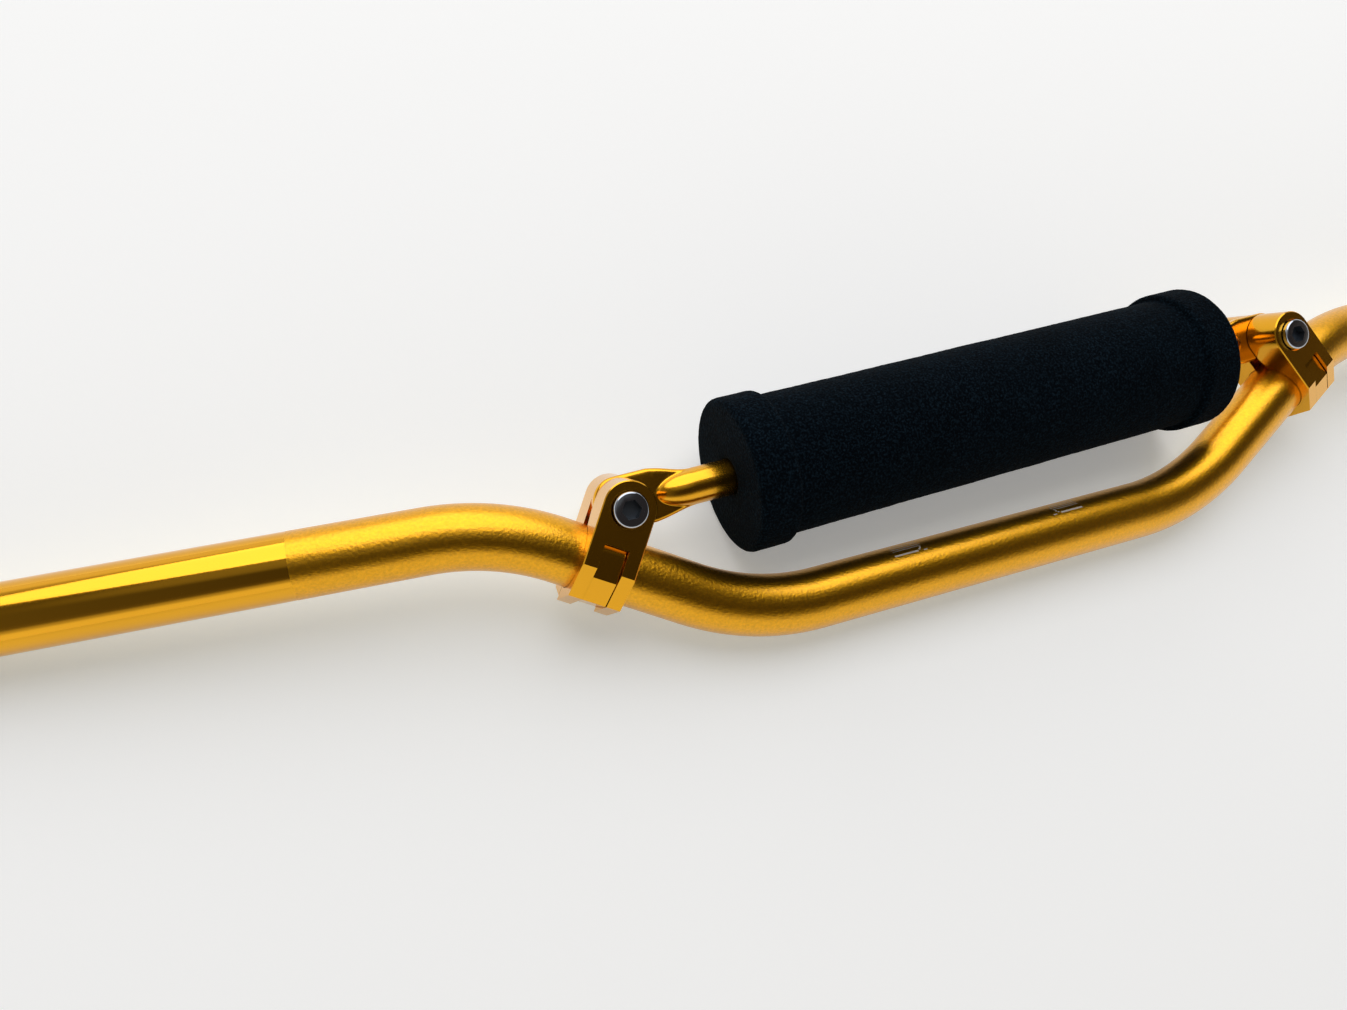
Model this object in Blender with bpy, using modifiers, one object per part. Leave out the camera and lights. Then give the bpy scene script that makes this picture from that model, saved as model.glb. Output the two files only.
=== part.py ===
import math
import bmesh
import bpy
from mathutils import Matrix, Vector

# Motocross handlebar with a padded crossbar, built in metres, resting on a table as in the photo.
# The bar's own frame: X along the bar, Y up the plane of the two risers, Z along the clamp bolts.

# Bar tube: 22.2 mm (7/8 inch), four bends, hollow with open ends
TUBE_R = 0.0111
TUBE_WALL = 0.0030
BAR_WIDTH = 0.800
CENTRE_HALF = 0.0968
RISER_ANGLE = math.radians(31.3)
RISER_LENGTH = 0.0966
GRIP_RISE = math.radians(2.25)
GRIP_SWEEP = math.radians(5.73)
LOWER_BEND_R = 0.0912
UPPER_BEND_R = 0.0857
TUBE_SIDES = 40
BEND_STEPS = 9

# Clamps: how far up each riser they sit, and where the bolt is above the tube
CLAMP_LEFT_AT = 0.0590
CLAMP_RIGHT_AT = 0.0749
BOLT_RISE = 0.0193
GAP = 0.0003

# One clamp: two jaws that hook into each other under the tube
JAW_HALF = 0.0092
JAW_FACE = 0.0154
JAW_EDGE = 0.00035
EAR_CROWN = 0.0005
EAR_RAKE = 0.105
SHOULDER_B = -0.0020
CHIN_N = 0.0093
CHIN_B = -0.0131
PRONG_TIP_N = -0.0046
PRONG_TIP_B = -0.0159
HEEL_N = -0.0126
HEEL_B = -0.0120
BACK_B = -0.0065
SLOT_HALF = 0.0043
SLOT_TOP = 0.0063
TONGUE_HALF = 0.0039
TONGUE_FACE = 0.0137
TONGUE_ROUND_N = 0.0008
TONGUE_ROUND_B = 0.0026
TONGUE_SOLE_B = -0.0142
EAR_RELIEF = 0.0016
RELIEF_RISE = 0.0055
OVERCUT = 0.0020
CUT_ROOM = 0.030

# Crossbar: half inch solid rod with both ends pressed flat
ROD_R = 0.00635
ROD_RISE = 0.0013
PALM_HALF = 0.0094
PALM_RISE = 0.0006
PALM_THICK = 0.0044
PALM_EDGE = 0.0015
EYE_REACH = 0.0084
PALM_STRAIGHT = 0.0125
PALM_END = 0.0275
NOSE_START = 0.0131
NOSE_LENGTH = 0.0142

# Foam pad round the crossbar
PAD_LENGTH = 0.2060
PAD_SHIFT = 0.0006
PAD_R = 0.0254
COLLAR_R = 0.0278
COLLAR_WIDTH = 0.0155
PAD_EDGE = 0.0022

# Clamp bolt: M8 socket cap
BOLT_R = 0.0040
BOLT_CHAMFER = 0.0008
HEAD_R = 0.0060
HEAD_CLEARANCE = 0.0005
HEAD_ROUND = 0.0008
HEAD_HEIGHT = 0.0052
HEAD_PROUD = 0.0023
HEX_FLAT = 0.0060
HEX_DEPTH = 0.0034
BOLT_END_RECESS = 0.0006

COLLECTION = "motocross_handlebar"


def make_collections():
    """The collection the object lives in, and a hidden one for the cutters."""
    scene = bpy.context.scene
    shown = bpy.data.collections.new(COLLECTION)
    cutters = bpy.data.collections.new("cutters")
    scene.collection.children.link(shown)
    scene.collection.children.link(cutters)
    cutters.hide_render = True
    return shown, cutters


def clear_scene():
    """Takes away everything that Blender starts with."""
    for o in list(bpy.data.objects):
        bpy.data.objects.remove(o, do_unlink=True)


def material(name, colour, metallic, roughness):
    """A plain Principled material."""
    m = bpy.data.materials.new(name)
    m.use_nodes = True
    p = m.node_tree.nodes["Principled BSDF"]
    p.inputs["Base Color"].default_value = (*colour, 1.0)
    p.inputs["Metallic"].default_value = metallic
    p.inputs["Roughness"].default_value = roughness
    m.diffuse_color = (*colour, 1.0)
    return m


def new_object(name, data, frame, collection):
    """An object in that collection, placed by its frame."""
    o = bpy.data.objects.new(name, data)
    collection.objects.link(o)
    o.matrix_world = frame
    if collection.hide_render:
        o.hide_render = True
        o.display_type = "WIRE"
    return o


def tidy(mesh):
    """Merges doubled points, joins faces that lie in one plane and turns all faces outward."""
    bm = bmesh.new()
    bm.from_mesh(mesh)
    bmesh.ops.remove_doubles(bm, verts=bm.verts, dist=0.00001)
    bmesh.ops.dissolve_limit(bm, angle_limit=0.0005, verts=bm.verts, edges=bm.edges)
    bmesh.ops.recalc_face_normals(bm, faces=bm.faces)
    bm.to_mesh(mesh)
    bm.free()


def evaluated_mesh(o):
    """The mesh of an object with its modifiers, or of a curve."""
    deps = bpy.context.evaluated_depsgraph_get()
    deps.update()
    mesh = bpy.data.meshes.new_from_object(o.evaluated_get(deps))
    tidy(mesh)
    return mesh


def apply_modifiers(o):
    """Writes the modifiers of an object into its mesh."""
    mesh = evaluated_mesh(o)
    o.modifiers.clear()
    o.data = mesh
    return o


def mesh_from_curve(guide, name, collection):
    """Turns a curve object into a mesh object in the same place."""
    mesh = evaluated_mesh(guide)
    o = new_object(name, mesh, guide.matrix_world.copy(), collection)
    bpy.data.objects.remove(guide, do_unlink=True)
    return o


def boolean(o, other, operation, keep=False):
    """Cuts, joins or intersects an object with another one."""
    m = o.modifiers.new("boolean", "BOOLEAN")
    m.operation = operation
    m.solver = "EXACT"
    m.object = other
    apply_modifiers(o)
    if not keep:
        bpy.data.objects.remove(other, do_unlink=True)
    return o


def prism(name, outline, low, high, frame, collection):
    """A flat outline given a thickness, from low to high along the frame's z."""
    curve = bpy.data.curves.new(name, "CURVE")
    curve.dimensions = "2D"
    curve.fill_mode = "BOTH"
    curve.extrude = (high - low) / 2
    spline = curve.splines.new("POLY")
    spline.points.add(len(outline) - 1)
    spline.use_cyclic_u = True
    for point, place in zip(spline.points, outline):
        point.co = (*place, 0.0, 1.0)
    middle = Matrix.Translation((0.0, 0.0, (low + high) / 2))
    guide = new_object(name + "_outline", curve, frame @ middle, collection)
    return mesh_from_curve(guide, name, collection)


def lathe(name, profile, steps, frame, collection):
    """A body turned about the frame's z from (radius, height) points."""
    mesh = bpy.data.meshes.new(name)
    edges = [(k, k + 1) for k in range(len(profile) - 1)]
    mesh.from_pydata([(r, 0.0, z) for r, z in profile], edges, [])
    o = new_object(name, mesh, frame, collection)
    screw = o.modifiers.new("turn", "SCREW")
    screw.axis = "Z"
    screw.angle = math.radians(360.0)
    screw.steps = steps
    screw.render_steps = steps
    screw.use_merge_vertices = True
    screw.merge_threshold = 0.00001
    return apply_modifiers(o)


def arc(centre, radius, start, end, steps):
    """Points of an arc in a plane, angles in degrees."""
    out = []
    for k in range(steps + 1):
        a = math.radians(start + (end - start) * k / steps)
        out.append((centre[0] + radius * math.cos(a), centre[1] + radius * math.sin(a)))
    return out


def bar_corners():
    """Corner points of the right half of the tube's centre line, before the bends are rounded."""
    foot = Vector((CENTRE_HALF, 0.0, 0.0))
    riser = Vector((math.cos(RISER_ANGLE), math.sin(RISER_ANGLE), 0.0))
    top = foot + RISER_LENGTH * riser
    flat = math.cos(GRIP_SWEEP)
    grip = Vector((math.cos(GRIP_RISE) * flat, math.sin(GRIP_RISE) * flat, -math.sin(GRIP_SWEEP)))
    end = top + grip * ((BAR_WIDTH / 2 - top.x) / grip.x)
    return foot, riser, top, grip, end


def bend(before, corner, after, radius, steps):
    """The points of a bend that rounds one corner."""
    d1 = (corner - before).normalized()
    d2 = (after - corner).normalized()
    turn = d1.angle(d2)
    start = corner - d1 * radius * math.tan(turn / 2)
    side = (d2 - d1 * d1.dot(d2)).normalized()
    centre = start + side * radius
    out = []
    for k in range(steps + 1):
        a = turn * k / steps
        out.append(centre - side * radius * math.cos(a) + d1 * radius * math.sin(a))
    return out


def bar_line():
    """The whole centre line of the tube, from the left end to the right end."""
    foot, riser, top, grip, end = bar_corners()
    right = bend(Vector((0, 0, 0)), foot, top, LOWER_BEND_R, BEND_STEPS)
    right += bend(foot, top, end, UPPER_BEND_R, BEND_STEPS)
    right.append(end)
    left = [Vector((-p.x, p.y, p.z)) for p in reversed(right)]
    return left + right


def bar_sweep(name, radius, capped, collection):
    """A round section carried along the bar's centre line, as a mesh."""
    line = bar_line()
    curve = bpy.data.curves.new(name, "CURVE")
    curve.dimensions = "3D"
    spline = curve.splines.new("POLY")
    spline.points.add(len(line) - 1)
    for point, place in zip(spline.points, line):
        point.co = (*place, 1.0)
    curve.bevel_depth = radius
    curve.bevel_resolution = TUBE_SIDES // 4 * 2 - 2
    curve.use_fill_caps = capped
    guide = new_object(name + "_line", curve, Matrix.Identity(4), collection)
    return mesh_from_curve(guide, name, collection)


def clamp_frame(side):
    """Frame of one clamp: x along the riser, y up through the bolt, z along the bolt."""
    foot, riser, top, grip, end = bar_corners()
    along = CLAMP_RIGHT_AT if side > 0 else CLAMP_LEFT_AT
    middle = foot + riser * along
    place = Vector((side * middle.x, middle.y, 0.0))
    return Matrix.Translation(place) @ Matrix.Rotation(side * RISER_ANGLE, 4, "Z")


def side_frame(side):
    """Frame of a clamp's side view: x along the bolt, y up, z along the riser."""
    return clamp_frame(side) @ Matrix.Rotation(math.radians(-90.0), 4, "Y")


def bolt_frame(side):
    """Frame on a bolt's axis, z along it."""
    return clamp_frame(side) @ Matrix.Translation((0.0, BOLT_RISE, 0.0))


def crossbar_frame():
    """Frame of the crossbar: x along the rod from its middle, z along the bolts; and half its span."""
    a = bolt_frame(-1).translation
    b = bolt_frame(1).translation
    along = (b - a).normalized()
    up = Vector((-along.y, along.x, 0.0))
    middle = (a + b) / 2 + up * ROD_RISE
    turn = Matrix.Rotation(math.atan2(along.y, along.x), 4, "Z")
    return Matrix.Translation(middle) @ turn, (b - a).length / 2


def rod_frame():
    """The same frame with its z along the rod, for the turned shapes."""
    return crossbar_frame()[0] @ Matrix.Rotation(math.radians(90.0), 4, "Y")


def bolt_hole(side, radius, low, high, collection):
    """A round cutter on a bolt's axis."""
    profile = [(0.0, high), (radius, high), (radius, low), (0.0, low)]
    return lathe("bolt_hole", profile, 28, bolt_frame(side), collection)


def make_tube(shown, gold):
    """The bent tube, hollow right through."""
    tube = bar_sweep("handlebar_tube", TUBE_R, False, shown)
    wall = tube.modifiers.new("wall", "SOLIDIFY")
    wall.thickness = TUBE_WALL
    wall.offset = -1.0
    wall.use_even_offset = True
    apply_modifiers(tube)
    tube.data.materials.append(gold)
    return tube


def make_crossbar(shown, cutters, gold):
    """The solid rod, its ends pressed into flat eyes, with the spoon shaped run-outs between."""
    frame, half = crossbar_frame()
    nose = []
    for x, y in arc((0.0, 0.0), 1.0, 0.0, 90.0, 10):
        nose.append((ROD_R * y, half - NOSE_START - NOSE_LENGTH * (1.0 - x)))
    profile = nose + [(r, -z) for r, z in reversed(nose)]
    bar = lathe("crossbar", profile, 32, rod_frame(), shown)
    reach = PALM_END - PALM_STRAIGHT
    waist = ROD_R * 0.99
    taper = ((0.0, 0.0), (0.27, 0.19), (0.55, 0.53), (0.80, 0.83), (1.0, 1.0))
    top = []
    bottom = []
    for share, drop in taper:
        x = -PALM_STRAIGHT - share * reach
        top.append((x, PALM_RISE + PALM_HALF - drop * (PALM_RISE + PALM_HALF - waist)))
        bottom.append((x, PALM_RISE - PALM_HALF + drop * (PALM_HALF - PALM_RISE - waist)))
    eye = [(x * EYE_REACH / PALM_HALF, y) for x, y in arc((0.0, PALM_RISE), PALM_HALF, -90.0, 90.0, 20)]
    root = arc((-PALM_END - ROD_R / 2, 0.0), waist, 90.0, 270.0, 8)
    outline = eye + top + root + list(reversed(bottom))
    for side in (-1, 1):
        place = frame @ Matrix.Translation((side * half, 0.0, 0.0))
        if side < 0:
            place = place @ Matrix.Rotation(math.radians(180.0), 4, "Y")
        palm = prism("palm", outline, -PALM_THICK / 2, PALM_THICK / 2, place, cutters)
        edge = palm.modifiers.new("edge", "BEVEL")
        edge.width = PALM_EDGE
        edge.segments = 3
        edge.limit_method = "ANGLE"
        edge.angle_limit = math.radians(60.0)
        edge.use_clamp_overlap = False
        apply_modifiers(palm)
        boolean(bar, palm, "UNION")
        boolean(bar, bolt_hole(side, BOLT_R + GAP, -CUT_ROOM, CUT_ROOM, cutters), "DIFFERENCE")
    bar.data.materials.append(gold)
    return bar


def make_pad(shown, foam):
    """The foam roll, with a collar at each end, tight round the rod."""
    end = PAD_LENGTH / 2
    frame = rod_frame() @ Matrix.Translation((0.0, 0.0, PAD_SHIFT))
    inner = end - COLLAR_WIDTH
    edge = PAD_EDGE
    bore = ROD_R + GAP
    half_profile = [
        (bore, end),
        (COLLAR_R - edge, end),
        (COLLAR_R - edge * 0.45, end - edge * 0.17),
        (COLLAR_R - edge * 0.10, end - edge * 0.60),
        (COLLAR_R, end - edge * 1.3),
        (COLLAR_R, inner + edge),
        (COLLAR_R - edge * 0.15, inner + edge * 0.35),
        (PAD_R + edge * 0.12, inner - edge * 0.25),
        (PAD_R, inner - edge * 0.9),
    ]
    profile = [(r, z) for r, z in half_profile] + [(r, -z) for r, z in reversed(half_profile)]
    profile.append(profile[0])
    pad = lathe("crossbar_pad", profile, 36, frame, shown)
    pad.data.materials.append(foam)
    return pad


def beyond(a, b, n):
    """The height at which the line through two side view points reaches n."""
    return a[1] + (b[1] - a[1]) * (n - a[0]) / (b[0] - a[0])


def ear_block(name, side, low, high, rim, collection):
    """A round topped block seen from the front, its top raked up to the back, a fine edge round one face."""
    outline = arc((0.0, BOLT_RISE + EAR_CROWN), JAW_HALF, 0.0, 180.0, 20)
    outline += [(-JAW_HALF, -CUT_ROOM), (JAW_HALF, -CUT_ROOM)]
    block = prism(name, outline, low, high, clamp_frame(side), collection)
    mesh = block.data
    middle = (low + high) / 2
    for v in mesh.vertices:
        if v.co.y > 0.0:
            v.co.y += (JAW_FACE - middle - v.co.z) * EAR_RAKE
    level = rim - middle
    weight = mesh.attributes.new("bevel_weight_edge", "FLOAT", "EDGE")
    for edge in mesh.edges:
        at_rim = all(abs(mesh.vertices[v].co.z - level) < 1e-6 for v in edge.vertices)
        weight.data[edge.index].value = 1.0 if at_rim else 0.0
    fine = block.modifiers.new("edge", "BEVEL")
    fine.width = JAW_EDGE
    fine.segments = 1
    fine.limit_method = "WEIGHT"
    apply_modifiers(block)
    return block


def make_front_jaw(side, name, fat_tube, shown, cutters, gold):
    """The jaw under the bolt head: an ear, a front wall and two prongs that reach under the tube."""
    slot_n = PALM_THICK / 2 + GAP
    over = JAW_FACE + OVERCUT
    chin = (CHIN_N, CHIN_B)
    shoulder = (JAW_FACE, SHOULDER_B)
    ear_foot = TUBE_R * 0.95
    above = BOLT_RISE + CUT_ROOM
    outline = [
        (slot_n, above),
        (over, above),
        (over, beyond(chin, shoulder, over)),
        chin,
        (PRONG_TIP_N, PRONG_TIP_B),
        (0.0, 0.0),
        (slot_n + EAR_RELIEF, ear_foot),
        (slot_n, ear_foot + RELIEF_RISE),
    ]
    jaw = ear_block(name, side, -JAW_FACE, JAW_FACE, JAW_FACE, shown)
    body = prism("body", outline, -CUT_ROOM, CUT_ROOM, side_frame(side), cutters)
    boolean(jaw, body, "INTERSECT")
    boolean(jaw, fat_tube, "DIFFERENCE", keep=True)
    back = -JAW_FACE
    width = [(back, -CUT_ROOM), (CUT_ROOM, -CUT_ROOM), (CUT_ROOM, SLOT_TOP), (back, SLOT_TOP)]
    slot = prism("slot", width, -SLOT_HALF, SLOT_HALF, side_frame(side), cutters)
    boolean(jaw, slot, "DIFFERENCE")
    boolean(jaw, bolt_hole(side, BOLT_R + GAP, 0.0, CUT_ROOM, cutters), "DIFFERENCE")
    seat = JAW_FACE + HEAD_PROUD - HEAD_HEIGHT - GAP
    boolean(jaw, bolt_hole(side, HEAD_R + HEAD_CLEARANCE, seat, CUT_ROOM, cutters), "DIFFERENCE")
    jaw.data.materials.append(gold)
    return jaw


def make_rear_jaw(side, name, fat_tube, shown, cutters, gold):
    """The jaw behind: a taller ear, a back wall and one tongue that hooks up the front between the prongs."""
    slot_n = PALM_THICK / 2 + GAP
    over = JAW_FACE + OVERCUT
    chin = (CHIN_N, CHIN_B)
    shoulder = (JAW_FACE, SHOULDER_B)
    heel = (HEEL_N, HEEL_B)
    back = (-JAW_FACE, BACK_B)
    sole = (PRONG_TIP_N - GAP, PRONG_TIP_B)
    above = BOLT_RISE + CUT_ROOM
    tip = SLOT_TOP - GAP
    outline = [(-slot_n, above), (-slot_n, TUBE_R * 0.90), (0.0, 0.0), (TUBE_R * 0.70, tip)]
    for n, b in arc((-1.0, -1.0), 1.0, 90.0, 0.0, 5):
        outline.append((TONGUE_FACE + n * TONGUE_ROUND_N, tip + b * TONGUE_ROUND_B))
    outline += [
        (TONGUE_FACE, beyond(chin, shoulder, TONGUE_FACE)),
        chin,
        (PRONG_TIP_N, TONGUE_SOLE_B),
        sole,
        heel,
        (-over, beyond(heel, back, -over)),
        (-over, above),
    ]
    jaw = ear_block(name, side, -JAW_FACE, over, -JAW_FACE, shown)
    body = prism("body", outline, -CUT_ROOM, CUT_ROOM, side_frame(side), cutters)
    boolean(jaw, body, "INTERSECT")
    boolean(jaw, fat_tube, "DIFFERENCE", keep=True)
    far = Vector((PRONG_TIP_N - GAP * 1.4, PRONG_TIP_B)) * 1.25
    room = [(0.0, 0.0), (far.x, far.y), (CUT_ROOM, far.y), (CUT_ROOM, TUBE_R * 0.8), (0.0, TUBE_R * 0.8)]
    for low, high in ((TONGUE_HALF, CUT_ROOM), (-CUT_ROOM, -TONGUE_HALF)):
        prong_room = prism("prong_room", room, low, high, side_frame(side), cutters)
        boolean(jaw, prong_room, "DIFFERENCE")
    boolean(jaw, bolt_hole(side, BOLT_R + GAP, -CUT_ROOM, 0.0, cutters), "DIFFERENCE")
    jaw.data.materials.append(gold)
    return jaw


def make_bolt(side, name, shown, cutters, steel):
    """The socket cap screw: a head with a rounded rim and a hexagon socket, and its shank."""
    top = JAW_FACE + HEAD_PROUD
    under = top - HEAD_HEIGHT
    end = -JAW_FACE + BOLT_END_RECESS
    profile = [
        (0.0, end),
        (BOLT_R - BOLT_CHAMFER, end),
        (BOLT_R, end + BOLT_CHAMFER),
        (BOLT_R, under),
        (HEAD_R, under),
        (HEAD_R, top - HEAD_ROUND),
        (HEAD_R - HEAD_ROUND * 0.35, top - HEAD_ROUND * 0.25),
        (HEAD_R - HEAD_ROUND, top),
        (0.0, top),
    ]
    profile.reverse()
    place = bolt_frame(side)
    bolt = lathe(name, profile, 32, place, shown)
    corner = HEX_FLAT / 2 / math.cos(math.radians(30.0))
    hexagon = arc((0.0, 0.0), corner, 30.0, 330.0, 5)
    socket = prism("socket", hexagon, top - HEX_DEPTH, top + HEAD_HEIGHT, place, cutters)
    boolean(bolt, socket, "DIFFERENCE")
    bolt.data.materials.append(steel)
    return bolt


def lay_on_table(pieces, collection):
    """Hangs the pieces on an empty that turns the bar so its centre section and both ends touch the table."""
    end = bar_corners()[4]
    rest = Matrix.Rotation(math.atan2(-end.z, end.y), 4, "X")
    points = [rest @ o.matrix_world @ v.co for o in pieces for v in o.data.vertices]
    low = [min(p[k] for p in points) for k in range(3)]
    high = [max(p[k] for p in points) for k in range(3)]
    shift = Vector((-(low[0] + high[0]) / 2, -(low[1] + high[1]) / 2, -low[2]))
    pose = new_object("resting_pose", None, Matrix.Translation(shift) @ rest, collection)
    for o in pieces:
        o.parent = pose
    bpy.context.view_layer.update()


def smooth(o, degrees):
    """Smooth shading, with edges sharper than this angle kept crisp."""
    o.data.shade_smooth()
    o.data.set_sharp_from_angle(angle=math.radians(degrees))


clear_scene()
shown, cutters = make_collections()
gold_satin = material("gold_anodised_satin", (0.72, 0.43, 0.045), 1.0, 0.32)
gold_bright = material("gold_anodised_bright", (0.74, 0.42, 0.05), 1.0, 0.16)
gold_rod = material("gold_anodised_rod", (0.74, 0.43, 0.05), 1.0, 0.18)
foam = material("black_foam", (0.012, 0.013, 0.014), 0.0, 0.85)
steel = material("zinc_steel", (0.62, 0.63, 0.64), 1.0, 0.22)

pieces = [make_tube(shown, gold_satin)]
pieces.append(make_crossbar(shown, cutters, gold_rod))
pieces.append(make_pad(shown, foam))
fat_tube = bar_sweep("fat_tube", TUBE_R + GAP, True, cutters)
for side, word in ((-1, "left"), (1, "right")):
    front = "clamp_front_" + word
    rear = "clamp_rear_" + word
    pieces.append(make_front_jaw(side, front, fat_tube, shown, cutters, gold_bright))
    pieces.append(make_rear_jaw(side, rear, fat_tube, shown, cutters, gold_bright))
    pieces.append(make_bolt(side, "clamp_bolt_" + word, shown, cutters, steel))
bpy.data.objects.remove(fat_tube, do_unlink=True)
lay_on_table(pieces, shown)
for piece in pieces:
    smooth(piece, 34.0)
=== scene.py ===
import math

import bmesh
import bpy
import numpy as np
from mathutils import Matrix, Vector, noise


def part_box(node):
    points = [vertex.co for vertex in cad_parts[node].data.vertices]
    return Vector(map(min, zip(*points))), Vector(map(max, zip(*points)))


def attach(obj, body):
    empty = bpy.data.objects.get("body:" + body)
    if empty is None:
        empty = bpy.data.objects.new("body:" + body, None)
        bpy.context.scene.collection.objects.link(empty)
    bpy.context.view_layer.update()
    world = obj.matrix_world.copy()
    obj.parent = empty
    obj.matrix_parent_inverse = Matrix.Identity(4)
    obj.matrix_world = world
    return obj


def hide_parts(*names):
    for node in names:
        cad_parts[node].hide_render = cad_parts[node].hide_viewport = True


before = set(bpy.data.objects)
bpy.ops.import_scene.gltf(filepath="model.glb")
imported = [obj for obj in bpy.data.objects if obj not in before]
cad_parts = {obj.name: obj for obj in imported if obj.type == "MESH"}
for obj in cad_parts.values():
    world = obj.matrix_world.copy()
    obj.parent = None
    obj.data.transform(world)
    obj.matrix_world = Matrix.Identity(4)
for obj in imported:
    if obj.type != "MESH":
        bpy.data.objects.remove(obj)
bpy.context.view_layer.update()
bpy.context.scene.view_settings.view_transform = "Standard"

# How the bar lies.
# It rests on its centre section and its two open ends, so the plane of its two risers leans
# back over the table; every piece below is placed in the bar's own frame and laid down with it.
tube_r = 0.0111
lean = math.radians(20.6309)
tube_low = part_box("handlebar_tube")[0]
bar_rest = Matrix.Translation((0.0, tube_low[1] + tube_r, tube_r))
bar_place = bar_rest @ Matrix.Rotation(lean, 4, "X")

# Camera.
# It stands above the bar's left clamp and looks down along the bar to the right, with a lens
# wide enough to make the left side large and the right side small, as in the photograph.
camera_at = Vector((-0.22866, 0.07014, 0.35045))
look_right = Vector((0.92827, -0.20599, 0.30966)).normalized()
look_back = Vector((-0.30166, 0.06999, 0.95084)).normalized()
look_up = look_back.cross(look_right).normalized()
look_right = look_up.cross(look_back)
stand = Matrix((look_right, look_up, look_back)).transposed().to_4x4()
stand.translation = camera_at
lens = bpy.data.cameras.new("photo_camera")
lens.sensor_width = 36.0
lens.lens = 28.6
lens.clip_start = 0.01
camera = bpy.data.objects.new("photo_camera", lens)
bpy.context.scene.collection.objects.link(camera)
camera.matrix_world = bar_place @ stand
bpy.context.scene.camera = camera

# Table.
# A plain white sheet that runs out of the picture on all sides and takes the bar's soft shadow.
# What the camera and the metal see of it is lifted to white without more light on the bar.
table_radius = 12.0
paper_white = (0.885, 0.887, 0.84)
lift_reach = (1.0, 5.0)
lift_strength = (0.262, 0.62)
table_mesh = bpy.data.meshes.new("table")
table = bpy.data.objects.new("table", table_mesh)
bpy.context.scene.collection.objects.link(table)
bm = bmesh.new()
bmesh.ops.create_circle(bm, cap_ends=True, segments=128, radius=table_radius)
bm.to_mesh(table_mesh)
bm.free()


def feed(tree, socket, value):
    """Gives a socket another node's output, or else a value of its own."""
    if isinstance(value, bpy.types.NodeSocket):
        tree.links.new(value, socket)
    else:
        socket.default_value = value


def worked_out(tree, operation, *values):
    """The output of a Math node that takes these values in turn."""
    node = tree.nodes.new("ShaderNodeMath")
    node.operation = operation
    for socket, value in zip(node.inputs, values):
        feed(tree, socket, value)
    return node.outputs[0]


def ranged(tree, value, old, new=(0.0, 1.0)):
    """A value moved from one range to another, and held inside it."""
    node = tree.nodes.new("ShaderNodeMapRange")
    feed(tree, node.inputs["Value"], value)
    for socket, limit in zip(("From Min", "From Max", "To Min", "To Max"), (*old, *new)):
        node.inputs[socket].default_value = limit
    return node.outputs["Result"]


def table_white():
    """Matt white paper, with a glow that only eyes, metal and glass see, stronger far away."""
    m = bpy.data.materials.new("table_white")
    m.use_nodes = True
    tree = m.node_tree
    tree.nodes.clear()
    path = tree.nodes.new("ShaderNodeLightPath").outputs
    seen = worked_out(tree, "MAXIMUM", path["Is Camera Ray"], path["Is Glossy Ray"])
    seen = worked_out(tree, "MAXIMUM", seen, path["Is Transmission Ray"])
    where = tree.nodes.new("ShaderNodeTexCoord")
    reach = tree.nodes.new("ShaderNodeVectorMath")
    reach.operation = "LENGTH"
    feed(tree, reach.inputs[0], where.outputs["Object"])
    far = ranged(tree, reach.outputs["Value"], lift_reach, lift_strength)
    glow = tree.nodes.new("ShaderNodeEmission")
    feed(tree, glow.inputs["Color"], (1.0, 1.0, 1.0, 1.0))
    feed(tree, glow.inputs["Strength"], worked_out(tree, "MULTIPLY", seen, far))
    matt = tree.nodes.new("ShaderNodeBsdfDiffuse")
    feed(tree, matt.inputs["Color"], (*paper_white, 1.0))
    both = tree.nodes.new("ShaderNodeAddShader")
    feed(tree, both.inputs[0], matt.outputs[0])
    feed(tree, both.inputs[1], glow.outputs[0])
    out = tree.nodes.new("ShaderNodeOutputMaterial")
    feed(tree, out.inputs["Surface"], both.outputs[0])
    return m


table_mesh.materials.append(table_white())

# Light.
# One large round soft box high behind the bar, and a studio whose walls are white near the
# table and dark above it, which gives the metal its bright and dark bands.
box_azimuth = math.radians(86.0)
box_height = math.radians(52.0)
box_distance = 2.4
box_flat = math.cos(box_height)
aim = Vector((math.cos(box_azimuth) * box_flat, math.sin(box_azimuth) * box_flat,
              math.sin(box_height)))
box_light = bpy.data.lights.new("soft_box", "AREA")
box_light.shape = "DISK"
box_light.size = 3.10
box_light.energy = 48.5
box_light.color = (0.99, 1.0, 1.08)
soft_box = bpy.data.objects.new("soft_box", box_light)
bpy.context.scene.collection.objects.link(soft_box)
soft_box.location = aim * box_distance
soft_box.rotation_euler = aim.to_track_quat("Z", "Y").to_euler()
wall_shades = (
    (0.0, (0.90, 0.89, 0.87)),
    (0.26, (0.86, 0.85, 0.83)),
    (0.40, (0.42, 0.40, 0.37)),
    (0.54, (0.060, 0.047, 0.038)),
    (0.66, (0.034, 0.026, 0.022)),
    (0.90, (0.032, 0.026, 0.024)),
    (0.96, (0.18, 0.175, 0.17)),
    (1.0, (0.30, 0.30, 0.30)),
)
left_wall_from = (-0.10, -0.80)
left_wall_shade = (0.0, 0.16)
studio = bpy.data.worlds.new("studio")
bpy.context.scene.world = studio
studio.use_nodes = True
tree = studio.node_tree
tree.nodes.clear()
coords = tree.nodes.new("ShaderNodeTexCoord")
ways = tree.nodes.new("ShaderNodeSeparateXYZ")
feed(tree, ways.inputs[0], coords.outputs["Generated"])
walls = tree.nodes.new("ShaderNodeValToRGB")
feed(tree, walls.inputs["Fac"], ways.outputs["Z"])
ramp = walls.color_ramp
ramp.interpolation = "EASE"
ramp.elements[0].position = wall_shades[0][0]
ramp.elements[1].position = wall_shades[-1][0]
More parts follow.
